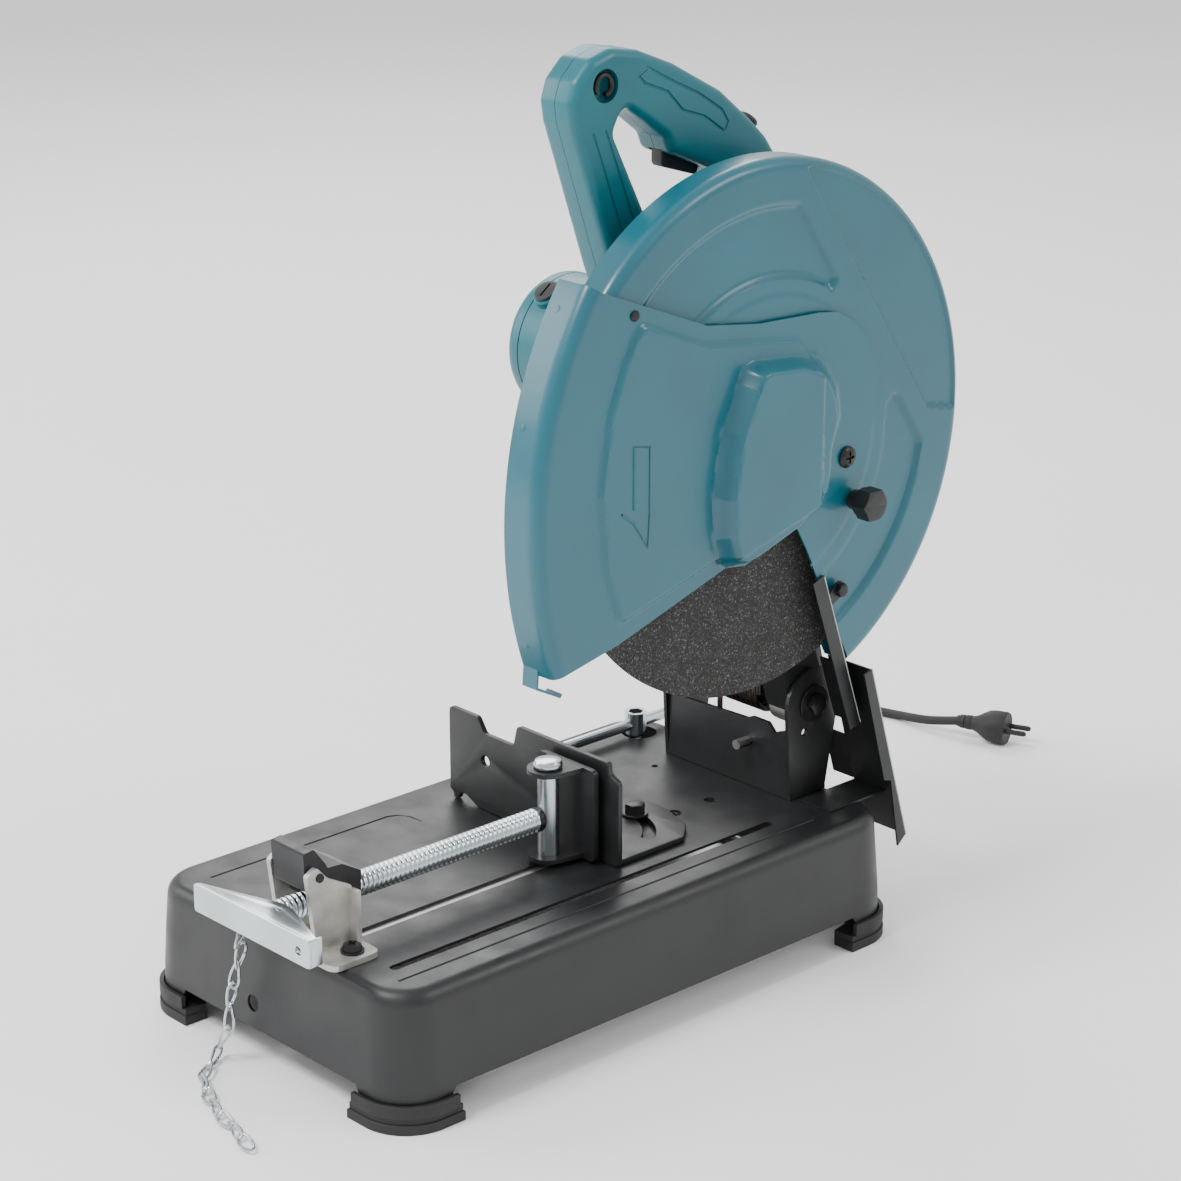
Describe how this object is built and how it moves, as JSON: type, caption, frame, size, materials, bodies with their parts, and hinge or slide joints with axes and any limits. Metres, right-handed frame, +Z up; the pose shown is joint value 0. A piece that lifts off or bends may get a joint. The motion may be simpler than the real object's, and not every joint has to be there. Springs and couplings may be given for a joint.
{
  "type": "abrasive chop saw",
  "caption": "Bench abrasive cut-off saw: tilting motor head with guarded wheel and D-handle over a pressed steel base with quick-release vise and swivelling fence.",
  "frame": {"origin": "centre of the footprint on the floor, measured without the free cord", "axes": "+Z up, -Y to the operator and crank, +X to the side with the wheel cover"},
  "size_m": [0.3456, 0.8947, 0.65],
  "materials": {
    "teal_paint": "satin",
    "teal_plastic": "satin",
    "black_paint": "satin",
    "black_steel": "satin",
    "black_plastic": "matte",
    "zinc": "bright zinc plate",
    "cast_aluminium": "as cast",
    "steel": "machined",
    "winding": "varnished copper and steel",
    "abrasive": "coarse grit",
    "carbon": "matte",
    "rubber": "matte"
  },
  "bodies": {
    "base": {"base_tray": "black_paint", "foot_front_right": "rubber", "foot_front_left": "rubber", "foot_rear_right": "rubber", "foot_rear_left": "rubber", "guide_rail": "steel", "vise_bracket": "cast_aluminium", "vise_bracket_screw_right": "black_steel", "vise_bracket_screw_left": "black_steel", "guide_pivot_bolt": "black_steel", "guide_clamp_bolt": "black_steel", "pivot_bracket": "black_paint", "pivot_shaft": "steel", "pivot_bolt": "black_steel", "stop_pin": "steel", "torsion_spring": "steel", "lower_spark_guard": "black_paint", "carry_chain": "zinc", "cord_coil": "rubber", "cord_tail": "rubber", "plug": "rubber"},
    "fence": {"guide_plate": "black_paint"},
    "vise_carriage": {"trunnion_pin": "zinc"},
    "vise_spindle": {"vise_screw": "zinc", "crank_handle": "zinc"},
    "jaw": {"vise_jaw": "black_paint"},
    "half_nut_lever": {"half_nut": "black_steel"},
    "socket_wrench": {"wrench": "zinc"},
    "head": {"gear_housing": "cast_aluminium", "wheel_guard": "teal_paint", "guard_pivot_screw": "black_steel", "upper_spark_guard": "black_paint", "spark_guard_bolt": "black_steel", "spindle_bearing": "steel", "motor_housing": "teal_plastic", "brush_cap_front": "black_plastic", "brush_cap_rear": "black_plastic", "carbon_brush_front": "carbon", "carbon_brush_rear": "carbon", "motor_end_cover": "teal_plastic", "stator": "steel", "handle_left": "teal_plastic", "handle_right": "teal_plastic", "switch_body": "black_plastic", "chain_hook": "zinc", "cord_guard": "rubber", "power_cord": "rubber"},
    "knob": {"clamp_knob": "black_plastic"},
    "wheel_spindle": {"spindle": "steel", "inner_flange": "steel", "abrasive_wheel": "abrasive", "outer_flange": "steel", "wheel_bolt": "steel", "drive_gear": "steel"},
    "motor_rotor": {"armature": "winding", "cooling_fan": "black_plastic"},
    "safety_cover": {"safety_guard": "teal_paint"},
    "trigger_lever": {"trigger": "black_plastic"},
    "lock_off": {"lock_off_button": "black_plastic"},
    "shaft_lock": {"shaft_lock_button": "black_plastic"}
  },
  "joints": [
    {"name": "head_tilt", "type": "hinge", "parent": "base", "child": "head", "pos_m": [0, 0.207, 0.165], "axis": [1, 0, 0], "range_deg": [0, 43], "stiffness_Nm_per_rad": 16, "springref_deg": -63.03},
    {"name": "wheel_spin", "type": "hinge", "parent": "head", "child": "wheel_spindle", "pos_m": [0.0905, 0.1213, 0.3793], "axis": [1, 0, 0], "continuous": true},
    {"name": "rotor_spin", "type": "hinge", "parent": "head", "child": "motor_rotor", "pos_m": [-0.02, 0.1213, 0.4148], "axis": [1, 0, 0], "continuous": true},
    {"name": "safety_guard_swing", "type": "hinge", "parent": "head", "child": "safety_cover", "pos_m": [0.1093, 0.195, 0.359], "axis": [1, 0, 0], "range_deg": [-43, 0]},
    {"name": "clamp_knob_turn", "type": "hinge", "parent": "head", "child": "knob", "pos_m": [0.12, 0.204, 0.3265], "axis": [1, 0, 0], "range_deg": [0, 360]},
    {"name": "trigger_press", "type": "hinge", "parent": "head", "child": "trigger_lever", "pos_m": [0.035, 0.1165, 0.583], "axis": [1, 0, 0], "range_deg": [-6, 0], "stiffness_Nm_per_rad": 0.6, "springref_deg": 8.59},
    {"name": "lock_off_press", "type": "slide", "parent": "head", "child": "lock_off", "axis": [0, 0.6816, 0.7317], "range_m": [-0.002, 0], "stiffness_N_per_m": 400, "springref_m": 0.0015},
    {"name": "shaft_lock_press", "type": "slide", "parent": "head", "child": "shaft_lock", "axis": [0, 1, 0], "range_m": [0, 0.003], "stiffness_N_per_m": 400, "springref_m": -0.002},
    {"name": "fence_swivel", "type": "hinge", "parent": "base", "child": "fence", "pos_m": [0.018, 0.032, 0.0973], "axis": [0, 0, 1], "range_deg": [0, 45]},
    {"name": "vise_slide", "type": "slide", "parent": "base", "child": "vise_carriage", "axis": [0, 1, 0], "range_m": [-0.15, 0]},
    {"name": "vise_screw_turn", "type": "hinge", "parent": "vise_carriage", "child": "vise_spindle", "pos_m": [0.0315, -0.13, 0.1275], "axis": [0, 1, 0], "range_deg": [-13502, 0]},
    {"name": "jaw_swivel", "type": "hinge", "parent": "vise_carriage", "child": "jaw", "pos_m": [0.034, -0.013, 0.13], "axis": [0, 0, 1], "range_deg": [0, 45]},
    {"name": "half_nut_lift", "type": "hinge", "parent": "base", "child": "half_nut_lever", "pos_m": [0.027, -0.2217, 0.1505], "axis": [1, 0, 0], "range_deg": [0, 60]},
    {"name": "wrench_lift", "type": "slide", "parent": "base", "child": "socket_wrench", "axis": [0, 0, 1], "range_m": [0, 0.05]}
  ],
  "couplings": [
    {"joint": "rotor_spin", "follows": "wheel_spin", "ratio": -5.4545},
    {"joint": "safety_guard_swing", "follows": "head_tilt", "ratio": -1},
    {"joint": "vise_screw_turn", "follows": "vise_slide", "rad_per_m": 1570.8},
    {"joint": "jaw_swivel", "follows": "fence_swivel", "ratio": 1}
  ]
}
